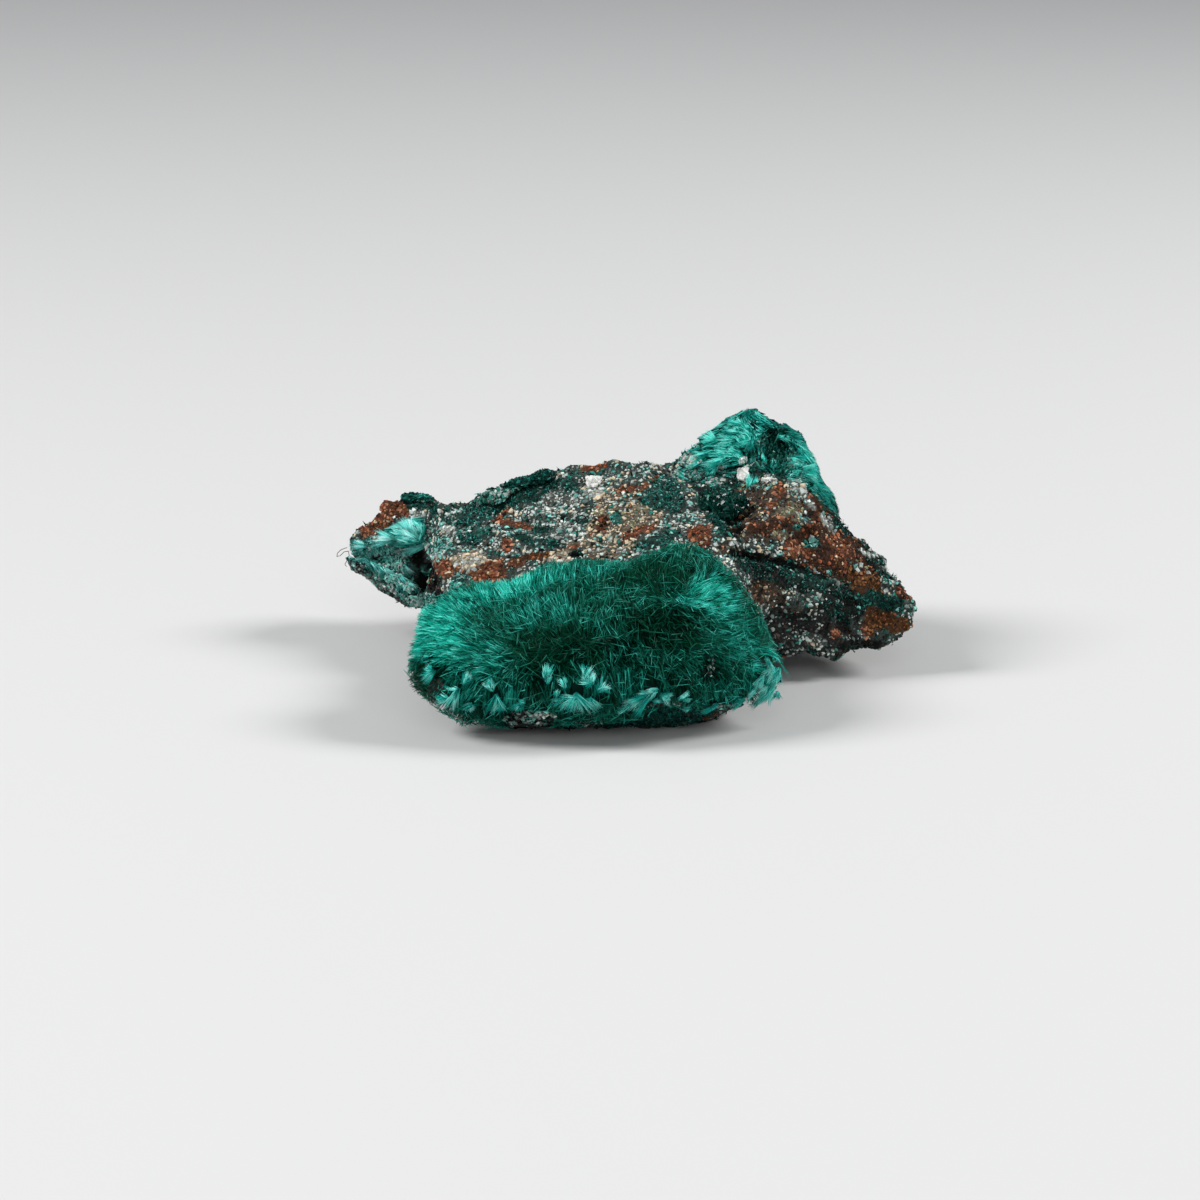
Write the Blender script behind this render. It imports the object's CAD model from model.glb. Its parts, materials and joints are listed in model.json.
import json
import math

import bmesh
import bpy
import numpy as np
from mathutils import Matrix, Vector, kdtree, noise
from mathutils.bvhtree import BVHTree

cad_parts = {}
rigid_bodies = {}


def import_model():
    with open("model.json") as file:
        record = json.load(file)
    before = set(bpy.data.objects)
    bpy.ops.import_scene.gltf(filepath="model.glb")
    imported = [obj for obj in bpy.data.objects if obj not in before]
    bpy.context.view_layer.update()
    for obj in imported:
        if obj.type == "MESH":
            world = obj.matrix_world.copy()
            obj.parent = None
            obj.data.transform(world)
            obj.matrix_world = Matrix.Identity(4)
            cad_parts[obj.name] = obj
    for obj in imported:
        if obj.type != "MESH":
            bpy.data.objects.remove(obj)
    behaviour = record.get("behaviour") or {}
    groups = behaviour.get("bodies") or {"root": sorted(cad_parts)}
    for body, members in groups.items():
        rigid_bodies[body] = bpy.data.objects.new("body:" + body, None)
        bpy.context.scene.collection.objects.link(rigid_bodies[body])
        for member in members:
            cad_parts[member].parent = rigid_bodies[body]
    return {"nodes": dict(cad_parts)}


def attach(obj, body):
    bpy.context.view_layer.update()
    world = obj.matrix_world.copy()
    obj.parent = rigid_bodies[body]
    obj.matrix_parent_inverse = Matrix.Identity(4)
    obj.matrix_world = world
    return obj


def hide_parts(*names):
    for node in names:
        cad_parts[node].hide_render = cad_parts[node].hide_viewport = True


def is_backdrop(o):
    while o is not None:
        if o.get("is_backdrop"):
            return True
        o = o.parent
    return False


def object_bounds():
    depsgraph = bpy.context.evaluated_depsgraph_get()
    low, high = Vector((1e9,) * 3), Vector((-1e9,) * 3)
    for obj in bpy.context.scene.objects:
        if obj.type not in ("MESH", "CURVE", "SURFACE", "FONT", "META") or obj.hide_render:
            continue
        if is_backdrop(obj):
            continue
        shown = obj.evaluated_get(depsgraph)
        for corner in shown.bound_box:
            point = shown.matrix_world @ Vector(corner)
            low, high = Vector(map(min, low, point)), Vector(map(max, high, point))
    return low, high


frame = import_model()
cadLow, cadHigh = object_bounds()
mm = 0.001
mergeMm = 0.002   # corners of a solid that are this close are one
rng = np.random.default_rng(11)

# The camera of the photograph, in the frame of the specimen
photoView = {
    "focusMm": (-2.5, 29.9, 0.0),   # the point of the floor in the middle of the picture
    "distanceMm": 420.0,
    "elevation": 14.0,
    "roll": 1.3,
    "lensMm": 126.0,
    "sensorMm": 36.0,
    "picturePx": 1200,
}
tiltAngle = math.radians(photoView["elevation"])
rollAngle = math.radians(photoView["roll"])
levelRight = np.array([1.0, 0.0, 0.0])
levelUp = np.array([0.0, math.sin(tiltAngle), math.cos(tiltAngle)])
viewForward = np.array([0.0, math.cos(tiltAngle), -math.sin(tiltAngle)])
viewRight = math.cos(rollAngle) * levelRight + math.sin(rollAngle) * levelUp
viewUp = math.cos(rollAngle) * levelUp - math.sin(rollAngle) * levelRight
viewPlace = (np.array(photoView["focusMm"]) - photoView["distanceMm"] * viewForward) * mm
focalPx = photoView["lensMm"] / photoView["sensorMm"] * photoView["picturePx"]
middlePx = photoView["picturePx"] / 2


def photoPixels(points):
    away = points - viewPlace
    depth = away @ viewForward
    across = middlePx + focalPx * (away @ viewRight) / depth
    down = middlePx - focalPx * (away @ viewUp) / depth
    return np.stack([across, down], axis=1)


def pixelRay(pixel):
    across = (pixel[0] - middlePx) / focalPx
    down = (pixel[1] - middlePx) / focalPx
    return unit(viewForward + across * viewRight - down * viewUp)


def unit(vectors):
    return vectors / np.maximum(np.linalg.norm(vectors, axis=-1, keepdims=True), 1e-12)


def smoothStep(low, high, values):
    share = np.clip((values - low) / (high - low), 0, 1)
    return share * share * (3 - 2 * share)


# Shader maths: a wrapped socket that adds its own Math nodes
class Link:
    def __init__(self, tree, socket=None):
        self.tree = tree
        self.socket = socket

    def make(self, kind, settings=(), sockets=(), out=0):
        node = self.tree.nodes.new(kind)
        for name, value in dict(settings).items():
            setattr(node, name, value)
        for name, value in dict(sockets).items():
            if isinstance(value, Link):
                self.tree.links.new(value.socket, node.inputs[name])
            else:
                node.inputs[name].default_value = value
        return Link(self.tree, node.outputs[out])

    def maths(self, operation, first, second, clamp=False):
        settings = {"operation": operation, "use_clamp": clamp}
        return self.make("ShaderNodeMath", settings, {0: first, 1: second})

    def mixColours(self, share, first, second, kind="MIX"):
        # A Mix node's colours are its inputs 6 and 7 and its output 2
        first = first if isinstance(first, Link) else (*first, 1)
        second = second if isinstance(second, Link) else (*second, 1)
        settings = {"data_type": "RGBA", "blend_type": kind}
        return self.make("ShaderNodeMix", settings, {0: share, 6: first, 7: second}, out=2)

    def attribute(self, name, out="Fac"):
        return self.make("ShaderNodeAttribute", {"attribute_name": name}, out=out)

    def __add__(self, other):
        return self.maths("ADD", self, other)

    def __mul__(self, other):
        return self.maths("MULTIPLY", self, other)

    def __sub__(self, other):
        return self.maths("SUBTRACT", self, other)

    def __rsub__(self, other):
        return self.maths("SUBTRACT", other, self)

    __radd__ = __add__
    __rmul__ = __mul__

    def held(self):  # between 0 and 1
        return self.maths("ADD", self, 0.0, clamp=True)


def newFinish(name, **fixed):
    # A material with its uniform values set, the start of its shader maths, and its shader
    finish = bpy.data.materials.new(name)
    finish.use_nodes = True
    shader = finish.node_tree.nodes["Principled BSDF"]
    for socket, value in fixed.items():
        shader.inputs[socket.replace("_", " ")].default_value = value
    return finish, Link(finish.node_tree), shader


def feed(link, shader, name):
    link.tree.links.new(link.socket, shader.inputs[name])


def feedBump(height, shader, strength, distanceMm):
    sockets = {"Strength": strength, "Distance": distanceMm * mm, "Height": height}
    feed(height.make("ShaderNodeBump", sockets=sockets), shader, "Normal")


def objectPattern(start, kind, scale, settings=(), **sockets):
    place = start.make("ShaderNodeTexCoord", out="Object")
    return start.make(kind, settings, {"Vector": place, "Scale": scale, **sockets})


# Mesh helpers
def selectOnly(piece):
    bpy.ops.object.select_all(action="DESELECT")
    piece.hide_set(False)
    piece.select_set(True)
    bpy.context.view_layer.objects.active = piece


def copyOfNode(node, name):
    piece = frame["nodes"][node].copy()
    piece.data = frame["nodes"][node].data.copy()
    piece.name = name
    piece.parent = None
    piece.hide_viewport = False
    piece.hide_render = False
    for key in list(piece.keys()):
        del piece[key]
    bpy.context.scene.collection.objects.link(piece)
    selectOnly(piece)
    bpy.ops.object.mode_set(mode="EDIT")
    bpy.ops.mesh.select_all(action="SELECT")
    bpy.ops.mesh.remove_doubles(threshold=mergeMm * mm)
    bpy.ops.object.mode_set(mode="OBJECT")
    return piece


def applyModifier(piece, kind, **settings):
    selectOnly(piece)
    modifier = piece.modifiers.new(kind, kind)
    for name, value in settings.items():
        setattr(modifier, name, value)
    bpy.ops.object.modifier_apply(modifier=modifier.name)


def setFinish(piece, finish):
    piece.data.materials.clear()
    piece.data.materials.append(finish)


def pointsOf(piece, value="co"):
    values = np.empty(len(piece.data.vertices) * 3)
    piece.data.vertices.foreach_get(value, values)
    return values.reshape(-1, 3)


def normalsOf(piece):
    return pointsOf(piece, "normal")


def setPoints(piece, places):
    piece.data.vertices.foreach_set("co", places.ravel())
    piece.data.update()


def addValues(mesh, values):
    for name, data in values.items():
        if data.ndim == 1:
            attribute = mesh.attributes.new(name, "FLOAT", "POINT")
            attribute.data.foreach_set("value", data.astype(np.float32))
        else:
            colours = np.concatenate([data, np.ones((len(data), 1))], axis=1)
            attribute = mesh.attributes.new(name, "FLOAT_COLOR", "POINT")
            attribute.data.foreach_set("color", colours.astype(np.float32).ravel())


def addPiece(name, points, faces, finish, values, smooth):
    mesh = bpy.data.meshes.new(name)
    mesh.vertices.add(len(points))
    mesh.vertices.foreach_set("co", points.astype(np.float32).ravel())
    mesh.loops.add(len(faces) * 3)
    mesh.loops.foreach_set("vertex_index", faces.astype(np.int32).ravel())
    mesh.polygons.add(len(faces))
    mesh.polygons.foreach_set("loop_start", np.arange(0, len(faces) * 3, 3, dtype=np.int32))
    mesh.polygons.foreach_set("use_smooth", np.full(len(faces), smooth))
    addValues(mesh, values)
    mesh.update(calc_edges=True)
    mesh.materials.append(finish)
    piece = bpy.data.objects.new(name, mesh)
    bpy.context.scene.collection.objects.link(piece)
    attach(piece, "root")


def triangleArrays(piece):
    piece.data.calc_loop_triangles()
    corners = np.empty(len(piece.data.loop_triangles) * 3, dtype=np.int32)
    piece.data.loop_triangles.foreach_get("vertices", corners)
    return corners.reshape(-1, 3)


def scatterOn(piece, count, patches=()):
    corners = triangleArrays(piece)
    places = pointsOf(piece)[corners]
    normals = normalsOf(piece)[corners]
    size = np.linalg.norm(np.cross(places[:, 1] - places[:, 0], places[:, 2] - places[:, 0]), axis=1)
    if patches:
        pixels = photoPixels(places.mean(axis=1))
        shares = np.max([patchShare(pixels, patch) for patch in patches], axis=0)
        size *= shares * (normals.mean(axis=1) @ viewForward < 0)
    chosen = rng.choice(len(corners), count, p=size / size.sum())
    shares = rng.dirichlet((1, 1, 1), count)[:, :, None]
    return (places[chosen] * shares).sum(axis=1), unit((normals[chosen] * shares).sum(axis=1))


def treeOf(piece):
    return BVHTree.FromPolygons(pointsOf(piece).tolist(), triangleArrays(piece).tolist())


rockGap = {"underNeedlesMm": 1.0, "underGrainsMm": 0.8, "straight": 0.2}


def facesRock(points, normals, reachMm):
    # True where a surface looks straight at the rock close by, so that nothing shows there
    found = np.zeros(len(points), dtype=bool)
    for index, (place, normal) in enumerate(zip(points, normals)):
        near, _, _, distance = rockTree.find_nearest(place)
        ahead = (near - Vector(place)).dot(normal)
        found[index] = distance < reachMm * mm and ahead > rockGap["straight"] * distance
    return found


rays = {"searchMm": range(380, 470, 2), "mostCrossings": 20, "stepMm": 0.01}


def frontHit(trees, pixel):
    # The first of several surfaces behind a pixel of the photograph, or None
    ray = Vector(pixelRay(pixel))
    hits = [tree.ray_cast(Vector(viewPlace), ray) for tree in trees]
    hits = [hit for hit in hits if hit[0] is not None]
    return min(hits, key=lambda hit: hit[3])[:2] if hits else None


def hitFrom(tree, pixel):
    # Where the surface shows at a pixel, or its nearest point where the ray misses it
    hit = frontHit((tree,), pixel)
    if not hit:
        spots = [viewPlace + pixelRay(pixel) * away * mm for away in rays["searchMm"]]
        hit = min((tree.find_nearest(spot) for spot in spots), key=lambda near: near[3])[:2]
    return np.array(hit[0]), np.array(hit[1])


def isInside(tree, point):
    # A straight line up from inside a closed surface crosses it an odd number of times
    place = Vector(point)
    crossings = 0
    while crossings < rays["mostCrossings"]:
        place = tree.ray_cast(place, Vector((0, 0, 1)))[0]
        if place is None:
            break
        place = place + Vector((0, 0, rays["stepMm"] * mm))
        crossings += 1
    return crossings % 2 == 1


def hugged(tree, points, aboveMm):
    # Points that stand off the surface by more than the wanted height, brought back to it
    moved = points.copy()
    for index, (point, above) in enumerate(zip(points, aboveMm)):
        near, normal, _, _ = tree.find_nearest(point)
        if (Vector(point) - near).dot(normal) > above * mm:
            moved[index] = near + normal * (above * mm)
    return moved


def slowNoise(points, size, seed):
    offset = Vector((seed * 3.1, seed * 1.7, seed * 2.3))
    return np.array([noise.noise(Vector(place) / (size * mm) + offset) for place in points])


def layeredNoise(points, layers):
    # Each layer: how much, how large (mm) and its seed
    return sum(much * slowNoise(points, size, seed) for much, size, seed in layers)


def skewed(limits, count, power):
    # Random sizes between two limits, most of them near the lower one
    return rng.uniform(0, 1, count) ** power * (limits[1] - limits[0]) + limits[0]


def pixelsAround(middlePx, spreadPx, count):
    return np.array(middlePx) + rng.normal(size=(count, 2)) * spreadPx


flowBlend = {"softenPx": 3, "falloff": 2.5}


def paintFlow(points, normals, flows):
    # Directions along the surface, blended between arrows drawn on the photograph
    pixels = photoPixels(points)
    total = np.zeros(points.shape)
    for place, (across, down) in flows:
        gap = np.linalg.norm(pixels - np.array(place), axis=1) + flowBlend["softenPx"]
        total += (across * viewRight - down * viewUp) / gap[:, None] ** flowBlend["falloff"]
    total = unit(total)
    return unit(total - normals * (total * normals).sum(axis=1)[:, None])


patchRim = {"outer": 1.25, "inner": 0.75, "warp": 0.3}


def patchShare(pixels, patch, warp=0.0):
    # 1 inside an ellipse of the photograph and 0 outside it, with a soft rim that noise may warp
    across, down, halfWidth, halfHeight, turn = patch
    angle = math.radians(turn)
    x = pixels[:, 0] - across
    y = pixels[:, 1] - down
    along = (x * math.cos(angle) + y * math.sin(angle)) / halfWidth
    beside = (y * math.cos(angle) - x * math.sin(angle)) / halfHeight
    reach = np.sqrt(along ** 2 + beside ** 2) + patchRim["warp"] * warp
    return smoothStep(patchRim["outer"], patchRim["inner"], reach)


# Small shifts in the plane of the picture that bring the outline to the photograph's:
# pixel, reach across and down (pixels), shift right and up (mm)
outlineNudges = [
    ((414, 676), (14, 22), (-0.6, 0.0)),
    ((508, 572), (28, 14), (0.0, -0.9)),
    ((778, 680), (13, 21), (1.2, 0.0)),
    ((356, 512), (26, 18), (1.1, -0.8)),
    ((346, 552), (12, 10), (-0.3, 0.0)),
    ((752, 409), (8, 10), (0.1, 0.4)),
    ((733, 412), (8, 8), (0.1, -0.2)),
]


def nudged(points):
    pixels = photoPixels(points)
    moved = points.copy()
    for place, reach, (right, up) in outlineNudges:
        share = np.exp(-(((pixels - np.array(place)) / np.array(reach)) ** 2).sum(axis=1))
        moved += share[:, None] * (right * viewRight + up * viewUp) * mm
    return moved


# Colours of what the rock is made of
mineralColours = {
    "soot": (0.006, 0.009, 0.008),
    "bottle": (0.002, 0.060, 0.042),
    "aqua": (0.03, 0.26, 0.20),
    "pale": (0.28, 0.72, 0.64),
    "grey": (0.19, 0.25, 0.23),
    "white": (0.74, 0.82, 0.77),
    "cream": (0.86, 0.71, 0.50),
    "olive": (0.39, 0.39, 0.22),
    "ochre": (0.26, 0.115, 0.034),
    "rust": (0.37, 0.104, 0.044),
    "peach": (0.56, 0.24, 0.13),
    "brown": (0.058, 0.030, 0.020),
}
# Each zone: shares of those colours among its grains, brightness of its ground and size of its grains.
# Some keep only a share of the grains (cover) or mix their colours more (chance)
rockZones = {
    "sugar": {
        "grains": {"white": 34, "pale": 15, "grey": 18, "soot": 8, "cream": 7, "bottle": 10, "aqua": 8},
        "ground": 0.15, "size": 1.0,
    },
    "rusty": {
        "grains": {"rust": 42, "peach": 31, "ochre": 8, "brown": 7, "cream": 7, "soot": 5},
        "ground": 0.3, "size": 0.95,
    },
    "russet": {
        "grains": {"rust": 25, "peach": 9, "brown": 31, "ochre": 12, "soot": 17, "grey": 2, "cream": 2,
                   "olive": 2},
        "ground": 0.25, "size": 0.85,
    },
    "creamy": {
        "grains": {"cream": 50, "white": 18, "pale": 6, "aqua": 5, "bottle": 5, "peach": 4, "rust": 4,
                   "soot": 8},
        "ground": 0.2, "size": 1.05,
    },
    "earthy": {
        "grains": {"brown": 33, "soot": 19, "rust": 10, "peach": 5, "grey": 12, "cream": 6, "white": 6,
                   "olive": 9},
        "ground": 0.3, "size": 0.85,
    },
    "olive": {
        "grains": {"olive": 38, "cream": 22, "brown": 8, "white": 13, "pale": 4, "rust": 5, "peach": 5,
                   "soot": 5},
        "ground": 0.3, "size": 0.9,
    },
    "mossy": {
        "grains": {"aqua": 28, "bottle": 24, "pale": 18, "white": 8, "soot": 15, "grey": 7},
        "ground": 0.2, "size": 0.75, "chance": 0.6,
    },
    "speckled": {
        "grains": {"soot": 38, "bottle": 20, "grey": 14, "aqua": 12, "white": 9, "brown": 7},
        "ground": 0.15, "size": 0.75, "chance": 0.7,
    },
    "pebbly": {
        "grains": {"soot": 34, "grey": 22, "white": 16, "brown": 22, "aqua": 6},
        "ground": 0.15, "size": 0.95, "chance": 0.7,
    },
    "bottle": {
        "grains": {"bottle": 60, "soot": 22, "aqua": 12, "grey": 6},
        "ground": 0.5, "cover": 0.8, "size": 0.8,
    },
    "aqua": {
        "grains": {"aqua": 50, "bottle": 20, "pale": 22, "white": 8},
        "ground": 0.4, "cover": 0.9, "size": 0.8,
    },
    "snowy": {
        "grains": {"white": 70, "pale": 13, "grey": 4, "cream": 5, "aqua": 3, "bottle": 2, "soot": 3},
        "ground": 0.16, "size": 1.05,
    },
    "hollow": {
        "grains": {"soot": 74, "bottle": 14, "brown": 12},
        "ground": 0.4, "cover": 0.7, "size": 0.8,
    },
    "ochre": {
        "grains": {"ochre": 52, "peach": 6, "rust": 14, "brown": 18, "soot": 10},
        "ground": 0.35, "size": 0.85,
    },
    "ivory": {
        "grains": {"cream": 58, "white": 39, "peach": 3},
        "ground": 0.4, "size": 1.15,
    },
    "knobs": {
        "grains": {"pale": 58, "white": 20, "aqua": 13, "bottle": 4, "soot": 5},
        "ground": 0.1, "size": 1.2,
    },
    "chalk": {
        "grains": {"white": 92, "cream": 8},
        "ground": 0.4, "size": 1.3,
    },
    "greyKnobs": {
        "grains": {"grey": 34, "soot": 38, "aqua": 16, "white": 6, "pale": 6},
        "ground": 0.1, "size": 1.2,
    },
}
# Where the zones lie on what the photograph shows, each patch over those before it: across, down, half
# width, half height (pixels), turn
zonePatches = [
    ("mossy", (478, 509, 42, 13, -14)), ("snowy", (456, 512, 9, 4, -14)),
    ("bottle", (534, 490, 24, 13, -18), (508, 500, 15, 7, -12)), ("rusty", (382, 514, 34, 14, -35)),
    ("bottle", (421, 505, 18, 9, 20)), ("snowy", (421, 514, 9, 5, 0)), ("mossy", (474, 536, 14, 8, -20)),
    ("aqua", (482, 530, 7, 4, -20)), ("hollow", (421, 574, 17, 26, -12)), ("snowy", (433, 556, 11, 5, 0)),
    ("rusty", (448, 566, 15, 10, 18)), ("ivory", (470, 562, 22, 8, 6)),
    ("rusty", (491, 573, 19, 11, -16), (516, 562, 11, 5, -14)), ("knobs", (459, 580, 7, 9, 0)),
    ("ochre", (540, 556, 26, 4, -6)), ("ivory", (556, 557, 16, 5, -6)),
    ("snowy", (519, 552, 10, 5, 0), (545, 507, 14, 8, -15), (572, 530, 18, 11, 0)),
    ("ivory", (600, 535, 10, 8, 0), (612, 548, 16, 6, -10)),
    ("rusty", (512, 524, 17, 3, 10), (503, 514, 9, 3, -40), (507, 546, 6, 7, 0)),
    ("mossy", (546, 543, 12, 5, 0)),
    ("bottle", (543, 531, 8, 4, 0), (520, 537, 8, 4, 20), (583, 521, 7, 4, 0)),
    ("rusty", (575, 546, 6, 4, 0)), ("hollow", (563, 518, 4, 4, 0), (577, 555, 9, 3, 0)),
    ("snowy", (560, 500, 20, 12, -20), (594, 487, 11, 9, 0)), ("rusty", (592, 468, 13, 3, -8)),
    ("mossy", (571, 486, 10, 7, -20)), ("olive", (620, 518, 32, 20, -20)),
    ("creamy", (606, 542, 28, 17, -12), (622, 499, 24, 10, -8)),
    ("rusty", (602, 523, 7, 9, 30), (640, 531, 22, 4, -22), (650, 483, 14, 4, -38), (628, 489, 15, 3, -10)),
    ("aqua", (617, 518, 7, 5, 0)), ("mossy", (664, 496, 22, 18, 0)), ("creamy", (654, 517, 14, 6, -10)),
    ("mossy", (660, 540, 20, 6, -20)), ("bottle", (770, 445, 44, 44, 0)),
    ("aqua", (745, 436, 26, 18, -20), (804, 466, 22, 18, 30)), ("speckled", (726, 478, 30, 8, -10)),
    ("bottle", (824, 498, 14, 26, -30)), ("snowy", (770, 480, 8, 6, 0)), ("mossy", (742, 487, 30, 4, 0)),
    ("snowy", (690, 460, 11, 8, -10)), ("hollow", (776, 447, 13, 25, 8)), ("aqua", (384, 558, 40, 14, 20)),
    ("greyKnobs", (392, 556, 26, 5, -8)), ("knobs", (398, 572, 20, 12, 35), (424, 598, 14, 7, 30)),
    ("greyKnobs", (376, 586, 34, 7, 38)), ("knobs", (438, 546, 12, 7, 0), (458, 594, 8, 10, 0)),
    ("aqua", (694, 455, 16, 9, -25)), ("speckled", (716, 490, 14, 12, 0)),
    ("bottle", (732, 508, 22, 26, 0)), ("hollow", (737, 522, 12, 12, 0)), ("rusty", (701, 534, 12, 11, 20)),
    ("snowy", (722, 543, 12, 4, 0)), ("earthy", (727, 550, 17, 5, 0)), ("snowy", (727, 562, 9, 4, 30)),
    ("earthy", (768, 512, 36, 30, 20)), ("rusty", (779, 491, 7, 8, 0), (772, 505, 7, 5, 0)),
    ("russet", (764, 527, 20, 8, 0)), ("olive", (789, 519, 16, 19, 20)),
    ("russet", (812, 548, 54, 18, 36), (824, 520, 30, 10, 45), (852, 548, 34, 11, 42)),
    ("rusty", (842, 546, 18, 7, 44), (796, 552, 17, 12, 25), (806, 566, 12, 5, 20)),
    ("olive", (783, 535, 10, 6, 0)), ("knobs", (811, 543, 7, 6, 0)), ("aqua", (797, 527, 4, 3, 0)),
    ("russet", (838, 570, 22, 7, 36)), ("ochre", (866, 586, 26, 10, 40)), ("snowy", (803, 496, 22, 4, 44)),
    ("russet", (816, 502, 16, 3, 48)), ("snowy", (826, 520, 18, 4, 46)),
    ("speckled", (842, 516, 8, 20, -20), (880, 563, 24, 8, 38)), ("snowy", (884, 560, 24, 3, 40)),
    ("hollow", (768, 560, 34, 6, 10)), ("speckled", (785, 574, 50, 14, 12)),
    ("mossy", (808, 580, 26, 7, 12)), ("earthy", (764, 594, 24, 12, 10)), ("snowy", (768, 612, 14, 5, 20)),
    ("earthy", (798, 617, 20, 9, 8)), ("speckled", (842, 608, 26, 20, 20)),
    ("pebbly", (800, 632, 58, 22, 4)), ("snowy", (812, 640, 16, 7, 10)), ("hollow", (792, 660, 40, 6, 4)),
    ("rusty", (835, 634, 6, 4, 20)), ("bottle", (886, 602, 28, 9, 14)), ("russet", (906, 592, 12, 8, 10)),
    ("ochre", (877, 621, 17, 12, -14), (896, 626, 14, 7, -24)), ("rusty", (868, 632, 9, 7, 30)),
    ("hollow", (862, 645, 26, 6, -6), (535, 724, 40, 14, 0)), ("bottle", (672, 720, 60, 14, -4)),
    ("hollow", (724, 720, 30, 8, -4)), ("earthy", (740, 712, 30, 8, -8)),
    ("chalk", (419, 515, 8, 4, -10), (445, 529, 8, 3.5, 0), (593, 491, 10, 6, 0), (800, 490, 9, 3.5, 40),
     (812, 506, 10, 2.2, 50), (826, 524, 12, 2, 48), (868, 554, 9, 2.6, 30), (888, 570, 9, 2.6, 45)),
    ("snowy", (716, 482, 9, 3, -10)),
]
# What the back and the underside are made of: zone, seed of its noise, how rare it is
hiddenZones = [
    ("russet", 21, 0.14), ("speckled", 22, 0.06), ("earthy", 23, 0.02), ("bottle", 24, 0.22),
    ("mossy", 25, 0.2),
]


# The rock under its grains
rockSkin = {
    "voxelMm": 0.28,
    "ledgeMm": 0.38,
    "ledgeSizeMm": 3.2,
    "lumpMm": 0.26,
    "lumpSizeMm": 1.3,
    "pitMm": 0.16,
    "pitSizeMm": 0.45,
    "edgeNoise": 0.1,
    # hollows pushed into what the photograph shows: patch and depth
    "hollows": [
        ((776, 448, 12, 24, 8), 1.2), ((421, 574, 14, 24, -12), 1.2), ((768, 560, 34, 4, 10), 0.9),
        ((563, 518, 4, 4, 0), 0.6), ((577, 555, 9, 3, 0), 0.5), ((736, 524, 9, 9, 0), 0.8),
        ((792, 616, 22, 4, 8), 0.5), ((398, 557, 24, 2.5, -8), 0.5), ((846, 600, 16, 4, 20), 0.4),
        ((806, 572, 30, 3, 14), 0.4), ((752, 553, 20, 3, 5), 0.6),
    ],
}
skin = copyOfNode("matrix", "rockSkin")
applyModifier(skin, "REMESH", mode="VOXEL", voxel_size=rockSkin["voxelMm"] * mm)
places = pointsOf(skin)
swell = rockSkin["lumpMm"] * slowNoise(places, rockSkin["lumpSizeMm"], seed=1)
swell += rockSkin["ledgeMm"] * (0.5 - 2 * np.abs(slowNoise(places, rockSkin["ledgeSizeMm"], seed=6)))
swell += rockSkin["pitMm"] * slowNoise(places, rockSkin["pitSizeMm"], seed=2)
facing = smoothStep(0.0, 0.3, -(normalsOf(skin) @ viewForward))
for patch, depth in rockSkin["hollows"]:
    swell -= depth * patchShare(photoPixels(places), patch) * facing
places = nudged(places + normalsOf(skin) * swell[:, None] * mm)
places[:, 2] = np.maximum(places[:, 2], 0)
setPoints(skin, places)
rockTree = treeOf(skin)
print("rock skin:", len(places), "points")

zoneNames = list(rockZones)

zonePainting = {
    "plain": 0.42,      # the score of sugar, which lies where no patch is stronger
    "wander": [(1.7, 1.6, 3), (1.2, 0.6, 4)],
    "hides": 0.7,       # how much a patch takes from those before it
    "hiddenMm": 6.0,
    "hiddenScore": 0.8,
}


def zonesAt(points, normals, edgeNoise):
    # The zone of each point: painted from the patches where the photograph sees it, and by slow
    # noise round the back
    pixels = photoPixels(points)
    seen = smoothStep(-0.05, 0.25, -(normals @ viewForward))
    warp = layeredNoise(points, zonePainting["wander"])
    scores = np.zeros((len(points), len(zoneNames)))
    scores[:, zoneNames.index("sugar")] = zonePainting["plain"]
    for zone, *patches in zonePatches:
        column = zoneNames.index(zone)
        for patch in patches:
            share = patchShare(pixels, patch, warp) * seen
            scores = scores * (1 - zonePainting["hides"] * share[:, None])
            scores[:, column] = np.maximum(scores[:, column], share)
    hidden = 1 - seen
    for zone, seed, level in hiddenZones:
        column = zoneNames.index(zone)
        share = slowNoise(points, zonePainting["hiddenMm"], seed)
        share = smoothStep(level - 0.05, level + 0.1, share) * hidden
        scores[:, column] = np.maximum(scores[:, column], zonePainting["hiddenScore"] * share)
    scores += rng.uniform(0, edgeNoise, scores.shape)
    return scores.argmax(axis=1)


mineralNames = list(mineralColours)
mineralTable = np.array([mineralColours[name] for name in mineralNames])
zoneOdds = np.array([[zone["grains"].get(name, 0) for name in mineralNames] for zone in rockZones.values()])
zoneOdds = zoneOdds / zoneOdds.sum(axis=1, keepdims=True)


def zoneValues(key, usual=1.0):
    return np.array([zone.get(key, usual) for zone in rockZones.values()])


zoneGrounds = zoneOdds @ mineralTable * zoneValues("ground")[:, None]
zoneCovers = zoneValues("cover")
zoneSizes = zoneValues("size")
zoneChances = zoneValues("chance", 0.25)


def grainColours(zones, points):
    # Like minerals keep together: slow noise, and a share of chance, walks through each zone's list
    clump = layeredNoise(points, rockGrains["clumps"])
    clump += rng.normal(size=len(points)) * zoneChances[zones]
    picked = np.zeros((len(zones), 3))
    for number, odds in enumerate(zoneOdds):
        members = np.flatnonzero(zones == number)
        if len(members):
            ranks = (clump[members].argsort().argsort() + 0.5) / len(members)
            minerals = np.searchsorted(odds.cumsum(), ranks).clip(0, len(mineralNames) - 1)
            picked[members] = mineralTable[minerals]
    return picked * rng.uniform(*rockGrains["brightness"], (len(zones), 1))


skinZones = zonesAt(places, normalsOf(skin), rockSkin["edgeNoise"])
addValues(skin.data, {"tint": zoneGrounds[skinZones]})

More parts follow.
